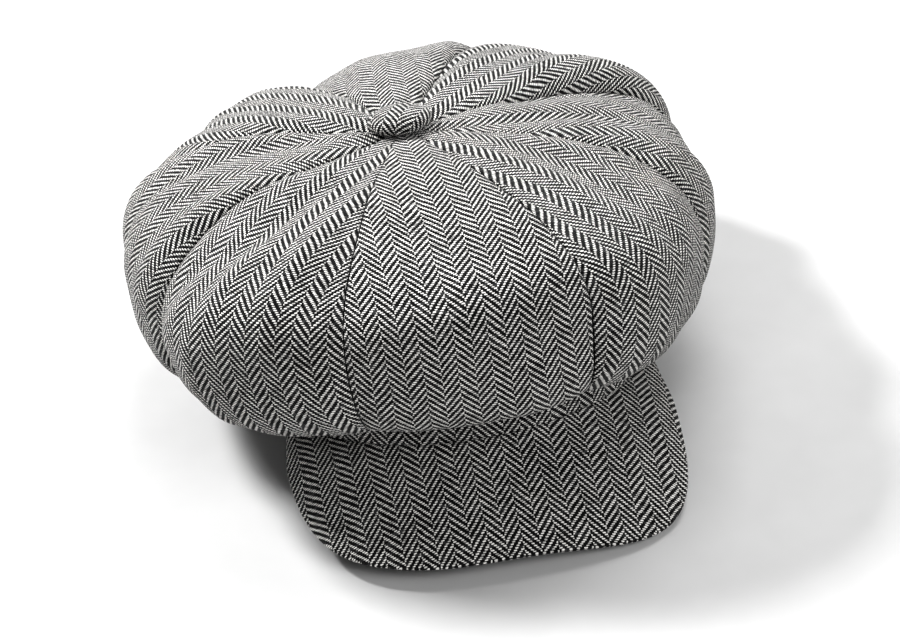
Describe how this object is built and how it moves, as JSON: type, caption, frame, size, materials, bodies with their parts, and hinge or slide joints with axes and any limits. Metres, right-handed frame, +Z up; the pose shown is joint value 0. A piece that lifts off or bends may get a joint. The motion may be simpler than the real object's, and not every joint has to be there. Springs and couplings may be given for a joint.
{
  "type": "newsboy cap",
  "caption": "Newsboy cap in herringbone tweed with a full gored crown, covered top button, self-fabric band and stiffened visor",
  "frame": {"origin": "Bottom centre of the cap's bounding box, on the table it stands on", "axes": "+Z up, -Y towards the visor, +X to the wearer's left"},
  "size_m": [0.283, 0.3155, 0.1384],
  "materials": {
    "tweed": "black and white wool herringbone tweed",
    "lining": "plain black satin lining",
    "interfacing": "stiff woven interfacing",
    "sweatband": "black cotton twill tape",
    "board": "flexible visor board",
    "button_metal": "stamped and deburred"
  },
  "bodies": {
    "root": {"crown_panel_front": "tweed", "crown_panel_front_left": "tweed", "crown_panel_left": "tweed", "crown_panel_back_left": "tweed", "crown_panel_back": "tweed", "crown_panel_back_right": "tweed", "crown_panel_right": "tweed", "crown_panel_front_right": "tweed", "lining_panel_front": "lining", "lining_panel_front_left": "lining", "lining_panel_left": "lining", "lining_panel_back_left": "lining", "lining_panel_back": "lining", "lining_panel_back_right": "lining", "lining_panel_right": "lining", "lining_panel_front_right": "lining", "hatband_outer": "tweed", "band_interfacing": "interfacing", "sweatband": "sweatband", "visor_top_cover": "tweed", "visor_board": "board", "visor_under_cover": "tweed", "button_cover": "tweed", "button_shell": "button_metal", "button_back_plate": "button_metal", "button_washer": "button_metal", "button_prongs": "button_metal"}
  },
  "joints": []
}
